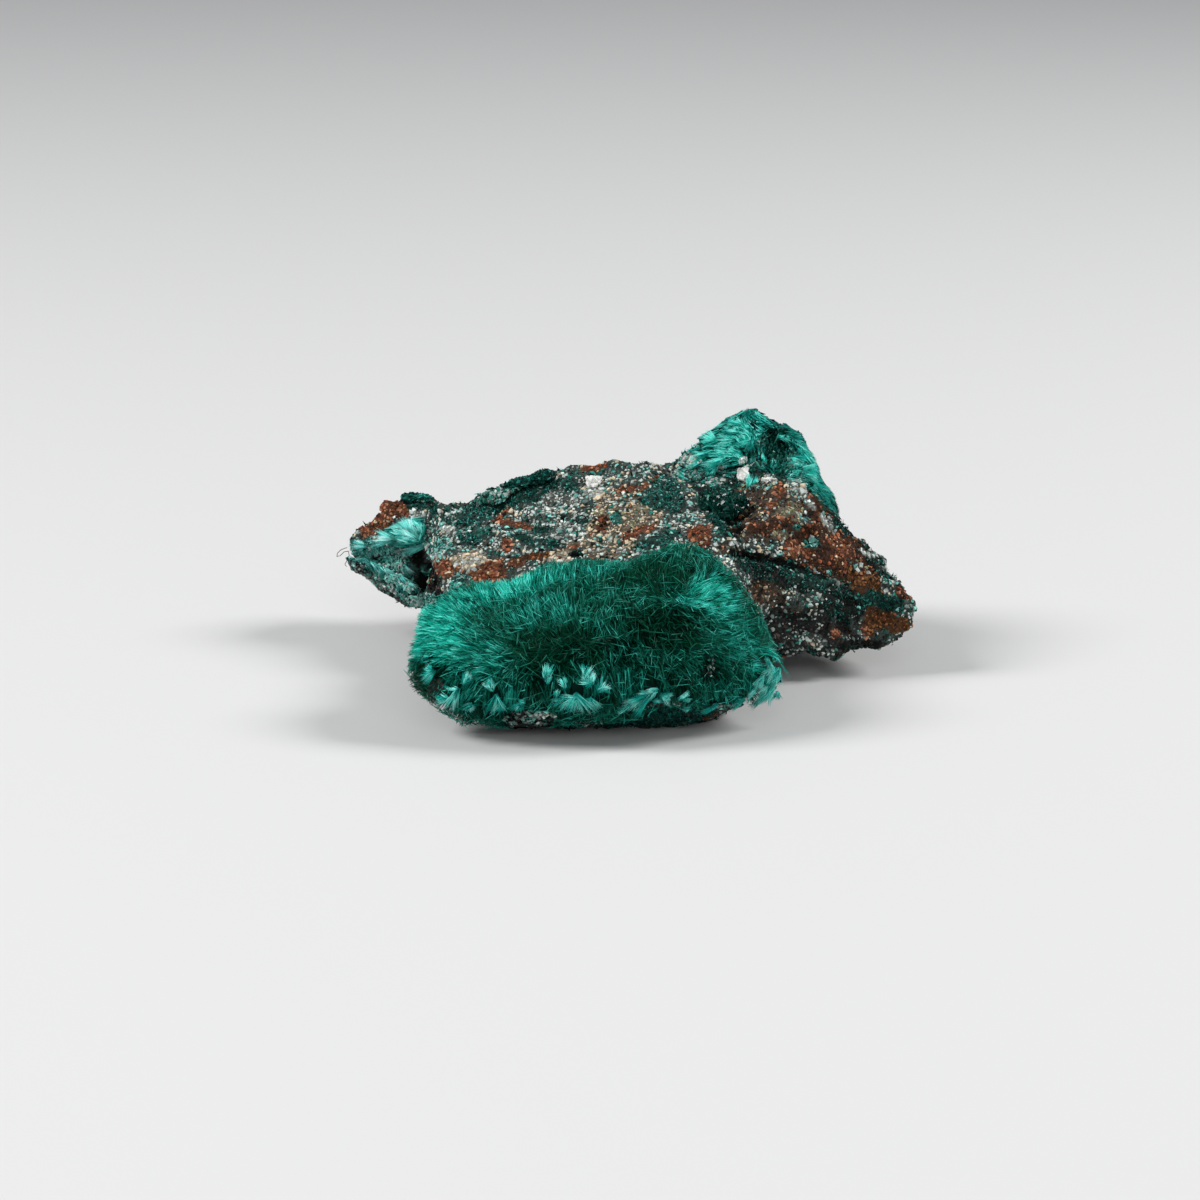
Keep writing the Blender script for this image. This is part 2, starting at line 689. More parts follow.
rockFinish, start, shader = newFinish("rockGround", Roughness=0.8, Specular_IOR_Level=0.1)
tint = start.attribute("tint", "Color")
mottle = objectPattern(start, "ShaderNodeTexNoise", 2600.0, Detail=5.0, Roughness=0.65)
seams = objectPattern(start, "ShaderNodeTexVoronoi", 2300.0, {"feature": "DISTANCE_TO_EDGE"})
shade = (mottle * 1.6 - 0.3).held() * (seams * 9.0 + 0.15).held()
toned = start.mixColours(shade, (0.22, 0.20, 0.18), (1.5, 1.5, 1.5))
feed(start.mixColours(1.0, tint, toned, "MULTIPLY"), shader, "Base Color")
feedBump((mottle + seams * 0.8).held(), shader, strength=0.8, distanceMm=0.12)
setFinish(skin, rockFinish)
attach(skin, "root")
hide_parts("matrix")


# Angular grains, copied from a few dozen broken shapes of eight corners each
grainShapes = {
    "shapes": 48,
    "leastGap": 0.62,
    "stretch": (0.65, 1.3),
    "dullFoot": 0.15,
    "dullBand": (-0.4, 0.5),
    "aboveFloorMm": 0.05,
}


def brokenShapes():
    # Eight points spread over a ball make a hull of twelve faces
    corners, faces = [], []
    while len(corners) < grainShapes["shapes"]:
        ball = unit(rng.normal(size=(8, 3)))
        gaps = np.linalg.norm(ball[:, None, :] - ball[None, :, :], axis=2) + 2 * np.eye(8)
        if gaps.min() < grainShapes["leastGap"]:
            continue
        shell = bmesh.new()
        for corner in ball:
            shell.verts.new(corner)
        bmesh.ops.convex_hull(shell, input=shell.verts[:])
        shell.verts.index_update()
        hull = [[vert.index for vert in face.verts] for face in shell.faces]
        whole = len(shell.verts) == 8 and len(hull) == 12
        shell.free()
        if whole:
            corners.append(ball)
            faces.append(hull)
    return np.array(corners), np.array(faces)


shapeCorners, shapeFaces = brokenShapes()


def randomTurns(count):
    q = unit(rng.normal(size=(count, 4)))
    w, x, y, z = q.T
    rows = [
        [1 - 2 * (y * y + z * z), 2 * (x * y - z * w), 2 * (x * z + y * w)],
        [2 * (x * y + z * w), 1 - 2 * (x * x + z * z), 2 * (y * z - x * w)],
        [2 * (x * z - y * w), 2 * (y * z + x * w), 1 - 2 * (x * x + y * y)],
    ]
    return np.array(rows).transpose(2, 0, 1)


def layGrains(name, spots, normals, sizes, colours, rough, flatness):
    # Grains pressed a little flat along the normal, and dull at their feet as dirt lies between them
    kinds = rng.integers(0, len(shapeCorners), len(spots))
    stretch = rng.uniform(*grainShapes["stretch"], (len(spots), 1, 3))
    corners = shapeCorners[kinds] * stretch * sizes[:, None, None]
    corners = np.einsum("nij,nkj->nki", randomTurns(len(spots)), corners)
    height = np.einsum("nki,ni->nk", corners, normals)
    corners = corners - flatness * height[:, :, None] * normals[:, None, :] + spots[:, None, :]
    faces = shapeFaces[kinds] + 8 * np.arange(len(spots))[:, None, None]
    bright = smoothStep(*grainShapes["dullBand"], height / sizes[:, None])
    bright = grainShapes["dullFoot"] + (1 - grainShapes["dullFoot"]) * bright
    tints = colours[:, None, :] * bright[:, :, None]
    values = {"tint": tints.reshape(-1, 3), "rough": np.repeat(rough, 8)}
    points = corners.reshape(-1, 3)
    points[:, 2] = np.maximum(points[:, 2], grainShapes["aboveFloorMm"] * mm)
    addPiece(name, points, faces.reshape(-1, 3), grainFinish, values, False)
    print(name, len(spots))


grainFinish, start, shader = newFinish("grains", Roughness=0.35, Specular_IOR_Level=0.22)
tint = start.attribute("tint", "Color")
cloud = objectPattern(start, "ShaderNodeTexNoise", 4200.0, Detail=4.0, Roughness=0.7)
tone = start.mixColours((cloud * 1.8 - 0.4).held(), (0.5, 0.5, 0.48), (1.2, 1.2, 1.2))
feed(start.mixColours(1.0, tint, tone, "MULTIPLY"), shader, "Base Color")
feed((start.attribute("rough") + cloud * 0.2 - 0.1).held(), shader, "Roughness")
feedBump(cloud, shader, strength=0.35, distanceMm=0.06)

rockGrains = {
    "frontSpacingMm": 0.34,
    "backSpacingMm": 0.44,
    "jitterMm": 0.15,
    "sizeMm": (0.13, 0.32),
    "backSizeMm": (0.18, 0.44),
    "smallness": 1.8,     # above 1 there are more small grains than large ones
    "sink": (-0.4, 0.2),  # along the normal, as a share of the size
    "rough": (0.15, 0.5),
    "softRough": 0.8,
    "flatness": 0.4,
    "brightness": (0.4, 1.25),
    "clumps": [(0.75, 1.0, 31), (0.4, 0.45, 32)],
    "edgeNoise": 0.3,
    "seatsAboveMm": 0.3,
    "middlesAboveMm": 0.4,
}
softZones = [zoneNames.index(name) for name in ("rusty", "russet", "earthy", "ochre", "olive")]
moundGuide = copyOfNode("brochantite_mound", "moundGuide")
moundTree = treeOf(moundGuide)
bpy.data.objects.remove(moundGuide)


def grainSeats(spacingMm, front):
    # Evenly spread places on one side of the rock, clear of the floor and of what the mound covers
    seat = copyOfNode("matrix", "grainSeat")
    applyModifier(seat, "REMESH", mode="VOXEL", voxel_size=spacingMm * mm)
    spots = pointsOf(seat)
    normals = normalsOf(seat)
    bpy.data.objects.remove(seat)
    side = (-(normals @ viewForward) > 0.0) == front
    spots = spots[side] + rng.uniform(-1, 1, (side.sum(), 3)) * rockGrains["jitterMm"] * mm
    normals = normals[side]
    spots = np.array([rockTree.find_nearest(spot)[0] for spot in spots])
    covered = np.array([isInside(moundTree, spot) for spot in spots])
    shown = (spots[:, 2] > rockGrains["seatsAboveMm"] * mm) & ~covered
    return spots[shown], normals[shown]


def layRockGrains(name, spots, normals, zones, sizeMm):
    sizes = skewed(sizeMm, len(spots), rockGrains["smallness"])
    sizes = sizes * zoneSizes[zones] * mm
    rough = rng.uniform(*rockGrains["rough"], len(spots))
    rough[np.isin(zones, softZones)] = rockGrains["softRough"]
    middles = spots + normals * (sizes * rng.uniform(*rockGrains["sink"], len(spots)))[:, None]
    middles[:, 2] = np.maximum(middles[:, 2], rockGrains["middlesAboveMm"] * mm)
    colours = grainColours(zones, spots)
    layGrains(name, middles, normals, sizes, colours, rough, rockGrains["flatness"])


frontSpots, frontNormals = grainSeats(rockGrains["frontSpacingMm"], front=True)
frontZones = zonesAt(frontSpots, frontNormals, rockGrains["edgeNoise"])
left = frontSpots[:, 0] < np.median(frontSpots[:, 0])
kept = rng.uniform(0, 1, len(frontSpots)) < zoneCovers[frontZones]
for name, chosen in (("quartzGrainsLeft", kept & left), ("quartzGrainsRight", kept & ~left)):
    layRockGrains(name, frontSpots[chosen], frontNormals[chosen], frontZones[chosen], rockGrains["sizeMm"])
spots, normals = grainSeats(rockGrains["backSpacingMm"], front=False)
zones = zonesAt(spots, normals, rockGrains["edgeNoise"])
kept = rng.uniform(0, 1, len(spots)) < zoneCovers[zones]
layRockGrains("quartzGrainsBack", spots[kept], normals[kept], zones[kept], rockGrains["backSizeMm"])


# Needles: a spike has three root corners and a tip, a rod has a shoulder under its tip as well
needleShape = {"shoulderWidth": 0.8, "aboveFloorMm": 0.1}


def needleArrays(tips, directions, lengths, widths, shoulder=None):
    count = len(tips)
    side = unit(np.cross(directions, rng.normal(size=(count, 3))))
    other = np.cross(directions, side)
    thirds = [0, 2 * math.pi / 3, 4 * math.pi / 3]
    spokes = [math.cos(turn) * side + math.sin(turn) * other for turn in thirds]
    roots = tips - directions * lengths[:, None]
    rings = [roots + spoke * widths[:, None] for spoke in spokes]
    faces = [(0, 1, 3), (1, 2, 3), (2, 0, 3), (0, 2, 1)]
    alongs = [0.0, 0.0, 0.0, 1.0]
    if shoulder:
        high = roots + directions * (lengths * shoulder)[:, None]
        rings += [high + spoke * widths[:, None] * needleShape["shoulderWidth"] for spoke in spokes]
        faces = [(0, 1, 4), (0, 4, 3), (1, 2, 5), (1, 5, 4), (2, 0, 3), (2, 3, 5)]
        faces += [(3, 4, 6), (4, 5, 6), (5, 3, 6), (0, 2, 1)]
        alongs = [0.0, 0.0, 0.0, shoulder, shoulder, shoulder, 1.0]
    points = np.stack([*rings, tips], axis=1)
    size = points.shape[1]
    faces = np.array(faces) + size * np.arange(count)[:, None, None]
    return points.reshape(-1, 3), faces.reshape(-1, 3), np.tile(alongs, count), size


def layNeedles(name, needles, finish, shoulder=None):
    roots = needles["tips"] - needles["ways"] * needles["lengths"][:, None]
    above = np.minimum(needles["tips"][:, 2], roots[:, 2]) > needleShape["aboveFloorMm"] * mm
    kept = {key: value[above] for key, value in needles.items()}
    points, faces, along, size = needleArrays(
        kept["tips"], kept["ways"], kept["lengths"], kept["widths"], shoulder
    )
    values = {
        "along": along,
        "tone": np.repeat(kept["tones"], size),
        "glow": np.repeat(kept["glows"], size),
    }
    addPiece(name, points, faces, finish, values, shoulder is None)
    print(name, above.sum())


def needleFinish(name, deep, body, bright, pale, rough, specular):
    # Dark at the root, its body colour towards the tip, brighter where glow is up and darker where
    # it is under nought, and pale on the crests
    finish, start, shader = newFinish(name, Roughness=rough, Specular_IOR_Level=specular)
    tone = start.attribute("tone")
    glow = start.attribute("glow")
    along = start.attribute("along")
    colour = start.mixColours((along * 0.7 + tone * 0.7 - 0.35).held(), deep, body)
    lit = glow * (along * 0.7 + 0.3) * (tone * 1.7 - 0.15)
    colour = start.mixColours(lit.held(), colour, bright)
    crest = (tone * 4.0 - 2.7).held() * along * (glow + 0.2)
    colour = start.mixColours(crest.held(), colour, pale)
    feed(start.mixColours((glow * -0.85).held(), colour, deep), shader, "Base Color")
    return finish


# Deep, body, bright and pale colour, roughness, and how much they mirror
needleLooks = {
    "velvetNeedles": ((0, 0.006, 0.004), (0, 0.094, 0.041), (0, 0.5, 0.36), (0.1, 0.92, 0.78), 0.5, 0.05),
    "guardNeedles": ((0, 0.014, 0.008), (0, 0.12, 0.06), (0.004, 0.56, 0.43), (0.16, 0.94, 0.82), 0.4, 0.08),
    "silkyNeedles": (
        (0, 0.012, 0.010), (0.001, 0.31, 0.24), (0.025, 0.76, 0.63), (0.30, 0.97, 0.86), 0.4, 0.07,
    ),
    "fanNeedles": ((0, 0.02, 0.016), (0.002, 0.30, 0.24), (0.02, 0.76, 0.64), (0.42, 1.0, 0.92), 0.4, 0.07),
    "paleNeedles": (
        (0.002, 0.045, 0.038), (0.015, 0.46, 0.38), (0.10, 0.86, 0.75), (0.48, 0.99, 0.93), 0.4, 0.08,
    ),
    "brightNeedles": ((0.01, 0.14, 0.12), (0.09, 0.62, 0.54), (0.24, 0.93, 0.86), (0.66, 1, 0.97), 0.4, 0.08),
    "darkNeedles": (
        (0, 0.006, 0.005), (0.001, 0.075, 0.056), (0.015, 0.32, 0.26), (0.12, 0.62, 0.54), 0.4, 0.12,
    ),
}
velvetFinish, guardFinish, silkFinish, fanFinish, paleFinish, brightFinish, mossFinish = [
    needleFinish(name, *look) for name, look in needleLooks.items()
]
coreFinish, start, shader = newFinish("velvetGround", Roughness=0.8, Specular_IOR_Level=0.1)
cloud = objectPattern(start, "ShaderNodeTexNoise", 1800.0, Detail=4.0)
feed(start.mixColours(cloud, (0.0, 0.006, 0.004), (0.002, 0.035, 0.024)), shader, "Base Color")


coreShape = {"smooth": 0.5, "smoothTurns": 8, "probeMm": 0.02, "mostSink": 0.35}


def crustCore(node, name, voxelMm, sinkMm):
    # The smooth ground of a crust, a little under the tips of its needles, and less where it is thin.
    # Its guide keeps the surface where the needles end
    core = copyOfNode(node, name)
    applyModifier(core, "REMESH", mode="VOXEL", voxel_size=voxelMm * mm)
    applyModifier(core, "SMOOTH", factor=coreShape["smooth"], iterations=coreShape["smoothTurns"])
    setPoints(core, nudged(pointsOf(core)))
    guide = core.copy()
    guide.data = core.data.copy()
    tree = treeOf(guide)
    places = pointsOf(core)
    normals = normalsOf(core)
    probes = places - normals * coreShape["probeMm"] * mm
    depths = [tree.ray_cast(Vector(probe), Vector(-normal))[3] for probe, normal in zip(probes, normals)]
    sinks = [min(sinkMm * mm, coreShape["mostSink"] * depth) if depth else 0.0 for depth in depths]
    setPoints(core, places - normals * np.array(sinks)[:, None])
    setFinish(core, coreFinish)
    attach(core, "root")
    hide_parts(node)
    return core, guide, tree


def paintAt(points, patches):
    # Bright patches raise the value and dark ones, of strength under nought, take it down
    pixels = photoPixels(points)
    warp = slowNoise(points, size=2.2, seed=5)
    bright = np.zeros(len(points))
    dark = np.zeros(len(points))
    for patch, strength in patches:
        share = patchShare(pixels, patch, warp) * abs(strength)
        target = bright if strength > 0 else dark
        np.maximum(target, share, out=target)
    return bright * (1 - dark) - dark


growth = {
    "rootFalloff": 3,
    "ownTurn": 0.1,
    "leastRise": 0.12,
    "feetMm": (-0.45, -0.15),   # under the surface that a crust lies on
    "drawn": (0.4, 1.0),
    "mostStretch": 1.25,
    "lockTone": 0.9,
    "ownTone": 0.8,
}


def crustNeedles(guide, crust, tree=None):
    # Needles that follow the painted flow, or point away from the nearest roots, and draw together
    # into pointed locks
    only = crust.get("only", [])
    roots = np.array(crust.get("rootsMm", [])) * mm
    tips, normals = scatterOn(guide, crust["needles"], only)
    shown = ~facesRock(tips, normals, rockGap["underNeedlesMm"])
    tips, normals = tips[shown], normals[shown]
    away = np.zeros(tips.shape)
    if len(roots):
        away = tips[:, None, :] - roots[None, :, :]
        pull = np.linalg.norm(away, axis=2, keepdims=True) ** growth["rootFalloff"]
        away = unit((unit(away) / pull).sum(axis=1))
    if "flows" in crust:
        painted = smoothStep(0.0, 0.4, -(normals @ viewForward)) * 2 if len(roots) else np.ones(len(tips))
        away = unit(away + paintFlow(tips, normals, crust["flows"]) * painted[:, None])
    locks, _ = scatterOn(guide, crust["locks"], only)
    finder = kdtree.KDTree(len(locks))
    for index, place in enumerate(locks):
        finder.insert(place, index)
    finder.balance()
    owners = np.array([finder.find(place)[1] for place in tips])
    turns = (rng.normal(size=locks.shape) * crust["turn"])[owners]
    turns = turns + rng.normal(size=tips.shape) * growth["ownTurn"]
    ways = unit(crust["lean"][0] * normals + crust["lean"][1] * away + turns)
    short = growth["leastRise"] - (ways * normals).sum(axis=1)
    ways = unit(ways + normals * np.maximum(short, 0)[:, None])
    feet = tips - ways * rng.uniform(*crust["lengthMm"], len(tips))[:, None] * mm
    if tree is not None:
        feet = hugged(tree, feet, rng.uniform(*growth["feetMm"], len(feet)))
    gather = rng.uniform(*growth["drawn"], len(tips))[:, None] * crust["gather"]
    tips = tips + (locks[owners] - tips) * gather
    tips = tips + normals * rng.uniform(*crust["tipsMm"], len(tips))[:, None] * mm
    shown = np.linalg.norm(tips - feet, axis=1) < growth["mostStretch"] * crust["lengthMm"][1] * mm
    for patch in crust.get("bare", []):
        for share in (0.0, 0.5, 1.0):
            pixels = photoPixels(tips + (feet - tips) * share)
            shown &= patchShare(pixels, patch) < rng.uniform(0.2, 1, len(tips))
    tips, feet, owners = tips[shown], feet[shown], owners[shown]
    tones = 0.5 + growth["lockTone"] * (rng.uniform(0, 1, len(locks))[owners] - 0.5)
    tones = tones + growth["ownTone"] * (rng.uniform(0, 1, len(tips)) - 0.5)
    return {
        "tips": tips,
        "ways": unit(tips - feet),
        "lengths": np.linalg.norm(tips - feet, axis=1),
        "widths": rng.uniform(*crust["widthMm"], len(tips)) * mm,
        "tones": np.clip(tones, 0, 1),
        "glows": crust["glow"] + paintAt(tips, crust["paint"]) * (1 - crust["glow"]),
    }


# Pale fans along the mound's lower edge: pixel of the foot, way it opens (degrees), arc, length (mm)
edgeFans = {
    "needles": 130,
    "satellites": 1,
    "satellitePx": 3.5,
    "satelliteTurn": 22,
    "satelliteSize": (0.4, 0.75),
    "blades": 9,
    "needleTurn": 5,
    "bladeRise": (0.05, 0.4),
    "needleRise": 0.05,
    "bladeLength": (0.45, 1.0),
    "needleLength": (0.6, 1.0),
    "stretch": 1.1,
    "widthMm": 0.052,
    "footMm": 0.15,
    "spreadMm": 0.07,
    "places": [
        ((456, 692), 205, 120, 1.9), ((448, 700), 160, 100, 1.2), ((463, 684), 70, 90, 1.2),
        ((496, 696), 268, 80, 2.2), ((500, 706), 250, 140, 1.0), ((492, 690), 110, 90, 1.3),
        ((576, 694), 262, 120, 2.6), ((566, 700), 215, 80, 1.6), ((590, 700), 300, 90, 1.5),
        ((600, 690), 60, 170, 1.5), ((592, 684), 130, 120, 1.4), ((546, 680), 92, 50, 1.8),
        ((565, 687), 110, 60, 1.2), ((585, 677), 80, 70, 1.4), ((652, 694), 195, 80, 3.0),
        ((640, 700), 230, 110, 1.8), ((662, 696), 340, 90, 1.5), ((628, 708), 180, 90, 1.2),
        ((680, 700), 40, 90, 1.3), ((756, 690), 200, 110, 1.6), ((766, 684), 60, 120, 1.8),
        ((771, 694), 240, 100, 1.5), ((780, 672), 250, 70, 1.4), ((744, 700), 190, 80, 1.8),
        ((715, 708), 200, 70, 1.8), ((690, 712), 200, 70, 1.5), ((520, 706), 230, 90, 1.3),
        ((434, 672), 190, 100, 1.5), ((470, 706), 260, 100, 1.2), ((768, 658), 235, 50, 2.0),
        ((774, 667), 225, 50, 2.2), ((779, 676), 215, 50, 2.5), ((775, 688), 205, 50, 2.4),
        ((764, 676), 225, 60, 1.8), ((766, 696), 190, 60, 2.0),
    ],
}

# Patches where the rock shows through the velvet
rockBits = [(530, 720, 26, 8, 3), (735, 709, 18, 3.5, -8), (606, 647, 13, 2.4, -33)]


def fanRoom(times):
    # Round patches about the feet of the fans, this many times as wide (pixels) as the fan is long (mm)
    return [(*pixel, times * length, times * length, 0) for pixel, _, _, length in edgeFans["places"]]


# The velvet mound. Its needles radiate from deep roots and follow arrows of the photograph
velvet = {
    "needles": 72000,
    "rootsMm": [(3.8, -13.6, 8.0), (-12.3, -14.6, 6.5), (-4.8, -14.1, 7.0), (10.2, -12.6, 4.5)],
    "flows": [
        ((430, 640), (-1.0, -0.1)), ((424, 672), (-0.9, 0.4)), ((445, 612), (-0.7, -0.7)),
        ((470, 600), (-0.5, -0.85)), ((500, 590), (-0.3, -0.95)), ((540, 575), (-0.15, -1.0)),
        ((580, 566), (0.0, -1.0)), ((620, 566), (0.2, -1.0)), ((650, 575), (-0.5, -0.85)),
        ((665, 560), (-0.15, -1.0)), ((684, 550), (0.2, -1.0)), ((700, 565), (0.5, -0.85)),
        ((712, 580), (0.85, -0.5)), ((725, 600), (1.0, -0.1)), ((720, 620), (0.85, 0.5)),
        ((650, 600), (-0.9, -0.3)), ((655, 620), (-0.6, 0.8)), ((680, 615), (0.3, 0.95)),
        ((745, 630), (0.9, -0.3)), ((765, 660), (1.0, 0.0)), ((775, 685), (0.9, 0.4)),
        ((755, 700), (0.4, 0.9)), ((450, 700), (-0.4, 0.9)), ((500, 710), (0.0, 1.0)),
        ((560, 712), (0.0, 1.0)), ((620, 712), (0.1, 1.0)), ((680, 710), (0.1, 1.0)),
        ((720, 705), (0.2, 1.0)), ((480, 640), (-0.8, -0.4)), ((540, 620), (-0.4, -0.8)),
        ((600, 610), (0.3, -0.9)), ((560, 660), (-0.5, 0.5)), ((620, 660), (0.6, 0.6)),
        ((700, 650), (0.8, 0.2)),
    ],
    "locks": 9000,
    "gather": 0.6,
    "turn": 0.2,
    "lean": (0.4, 0.9),
    "tipsMm": (-0.35, 0.3),
    "lengthMm": (1.5, 2.8),
    "widthMm": (0.04, 0.075),
    "glow": 0.03,
    # patch and strength
    "paint": [
        ((428, 636, 22, 36, 8), 1.5), ((436, 630, 14, 20, 0), 2.2), ((440, 650, 34, 40, 0), 0.6),
        ((448, 604, 30, 14, -25), 0.8), ((500, 586, 66, 11, -17), 1.05), ((560, 570, 30, 8, -8), 0.6),
        ((585, 566, 36, 6, -4), 0.45), ((470, 655, 34, 26, 0), 0.5), ((716, 592, 22, 30, -35), 1.0),
        ((700, 602, 24, 10, 0), 0.7), ((742, 632, 16, 34, -25), 0.4), ((775, 674, 20, 28, 0), 1.6),
        ((738, 700, 34, 8, -10), 0.5), ((455, 700, 26, 14, 20), 0.6), ((500, 704, 18, 12, 0), 0.6),
        ((580, 696, 36, 14, 0), 0.6), ((640, 702, 30, 10, 0), 0.6), ((540, 606, 40, 14, -14), 0.3),
        ((560, 650, 50, 26, 0), -0.5), ((662, 628, 40, 22, 10), -0.6), ((668, 572, 30, 16, 0), -0.3),
        ((606, 646, 9, 5, -30), -1.0), ((711, 670, 7, 15, 8), -1.0), ((640, 570, 30, 8, -15), -0.4),
        ((424, 682, 16, 14, 30), -0.6), ((540, 692, 12, 10, 0), -0.5), ((612, 704, 8, 8, 0), -0.7),
    ],
}
_, guide, velvetTree = crustCore("brochantite_mound", "velvetCore", voxelMm=0.5, sinkMm=0.9)
velvet["bare"] = rockBits + fanRoom(times=3)
needles = crustNeedles(guide, velvet)
left = needles["tips"][:, 0] < np.median(needles["tips"][:, 0])
for name, chosen in (("velvetLeft", left), ("velvetRight", ~left)):
    layNeedles(name, {key: value[chosen] for key, value in needles.items()}, velvetFinish)

# Longer single needles that stand out from the rest along the same flow
guards = {
    **velvet,
    "needles": 12000,
    "locks": 5000,
    "gather": 0.2,
    "turn": 0.16,
    "lean": (0.3, 0.9),
    "tipsMm": (0.0, 0.35),
    "lengthMm": (1.0, 2.4),
    "widthMm": (0.03, 0.048),
    "shoulder": 0.85,
    "glow": 0.08,
    "bare": rockBits + fanRoom(times=8),
}
layNeedles("guardNeedles", crustNeedles(guide, guards), guardFinish, guards["shoulder"])

# Single needles that lie criss-cross on the velvet
strays = {
    "needles": 6500,
    "lift": 0.4,
    "lengthMm": (0.6, 2.2),
    "widthMm": (0.028, 0.042),
    "shortness": 1.7,           # above 1 there are more short needles than long ones
    "headsMm": (0.1, 0.55),     # most that heads and feet may stand off the velvet
    "feetMm": (-0.2, 0.25),
    "headShare": 0.6,
    "footShare": 0.4,
    "fanReach": 5,
    "rockShare": 0.3,
    "glow": 0.22,
    "paintShare": 0.5,
    "darkest": -0.4,
}
tips, normals = scatterOn(guide, strays["needles"])
shown = ~facesRock(tips, normals, rockGap["underNeedlesMm"])
shown &= paintAt(tips, velvet["paint"]) < rng.uniform(0.0, 0.9, len(tips))
tips, normals = tips[shown], normals[shown]
flat = unit(np.cross(normals, rng.normal(size=normals.shape)))
ways = unit(flat + normals * rng.uniform(0.0, strays["lift"], len(tips))[:, None])
lengths = skewed(strays["lengthMm"], len(tips), strays["shortness"]) * mm
heads = tips + ways * (lengths * strays["headShare"])[:, None]
heads = hugged(velvetTree, heads, rng.uniform(*strays["headsMm"], len(tips)))
feet = tips - ways * (lengths * strays["footShare"])[:, None]
feet = hugged(velvetTree, feet, rng.uniform(*strays["feetMm"], len(tips)))
shown = np.ones(len(tips), dtype=bool)
for pixel, _, _, length in edgeFans["places"]:
    shown &= np.linalg.norm(photoPixels(tips) - np.array(pixel), axis=1) > strays["fanReach"] * length
for patch in rockBits:
    shown &= patchShare(photoPixels(tips), patch) < strays["rockShare"]
tips, heads, feet = tips[shown], heads[shown], feet[shown]
glows = strays["glow"] + paintAt(tips, velvet["paint"]) * strays["paintShare"]
layNeedles("strayNeedles", {
    "tips": heads,
    "ways": unit(heads - feet),
    "lengths": np.linalg.norm(heads - feet, axis=1),
    "widths": rng.uniform(*strays["widthMm"], len(tips)) * mm,
    "tones": rng.uniform(0.4, 1.0, len(tips)),
    "glows": np.maximum(glows, strays["darkest"]),
}, guardFinish, guards["shoulder"])
bpy.data.objects.remove(guide)

# Grey grains in the small pit on the right of the mound
pit = {
    "grains": 60,
    "middlePx": (711, 669),
    "spreadPx": (2.25, 6.5),
    "sizeMm": (0.07, 0.16),
    "outMm": 0.05,
    "rough": 0.4,
    "flatness": 0.3,
}
pitPixels = pixelsAround(pit["middlePx"], pit["spreadPx"], pit["grains"])
spots, normals = np.array([hitFrom(velvetTree, pixel) for pixel in pitPixels]).transpose(1, 0, 2)
spots = spots + normals * pit["outMm"] * mm
sizes = rng.uniform(*pit["sizeMm"], len(spots)) * mm
colours = grainColours(np.full(len(spots), zoneNames.index("greyKnobs")), spots)
layGrains("pitGrains", spots, normals, sizes, colours, np.full(len(spots), pit["rough"]), pit["flatness"])


def layFans(name, fans, trees, finish):
    # Each place gets one fan and a few smaller ones beside it
    parts = []
    places = list(fans["places"])
    blades = fans["blades"]
    for pixel, opens, arc, length in fans["places"]:
        for *shift, turn in rng.normal(size=(fans["satellites"], 3)):
            beside = np.array(pixel) + fans["satellitePx"] * np.array(shift)
            shorter = length * rng.uniform(*fans["satelliteSize"])
            places.append((beside, opens + fans["satelliteTurn"] * turn, arc, shorter))
    for pixel, opens, arc, length in places:
        length = length * fans["stretch"]
        place, normal = (np.array(part) for part in frontHit(trees, pixel) or hitFrom(trees[0], pixel))
        owners = rng.integers(0, blades, fans["needles"])
        bladeTurns = opens + rng.uniform(-0.5, 0.5, blades) * arc
        turns = np.radians(bladeTurns[owners] + rng.normal(size=len(owners)) * fans["needleTurn"])
        ways = np.cos(turns)[:, None] * viewRight + np.sin(turns)[:, None] * viewUp
        rise = rng.uniform(*fans["bladeRise"], blades)[owners]
        rise = rise + rng.normal(size=len(owners)) * fans["needleRise"]
        ways = unit(ways - normal * (ways @ normal)[:, None] + normal * rise[:, None])
        lengths = length * rng.uniform(*fans["bladeLength"], blades)[owners]
        lengths = lengths * rng.uniform(*fans["needleLength"], len(owners)) * mm
        feet = place - normal * fans["footMm"] * mm + rng.normal(size=ways.shape) * fans["spreadMm"] * mm
        tones = 0.1 + 0.8 * rng.uniform(0, 1, blades)[owners] + 0.35 * rng.uniform(0, 1, len(owners))
        parts.append({
            "tips": feet + ways * lengths[:, None],
            "ways": ways,
            "lengths": lengths,
            "widths": np.full(len(ways), fans["widthMm"] * mm),
            "tones": tones,
            "glows": np.full(len(ways), 1.0),
        })
    needles = {key: np.concatenate([part[key] for part in parts]) for key in parts[0]}
    layNeedles(name, needles, finish)


layFans("edgeFans", edgeFans, (velvetTree,), fanFinish)


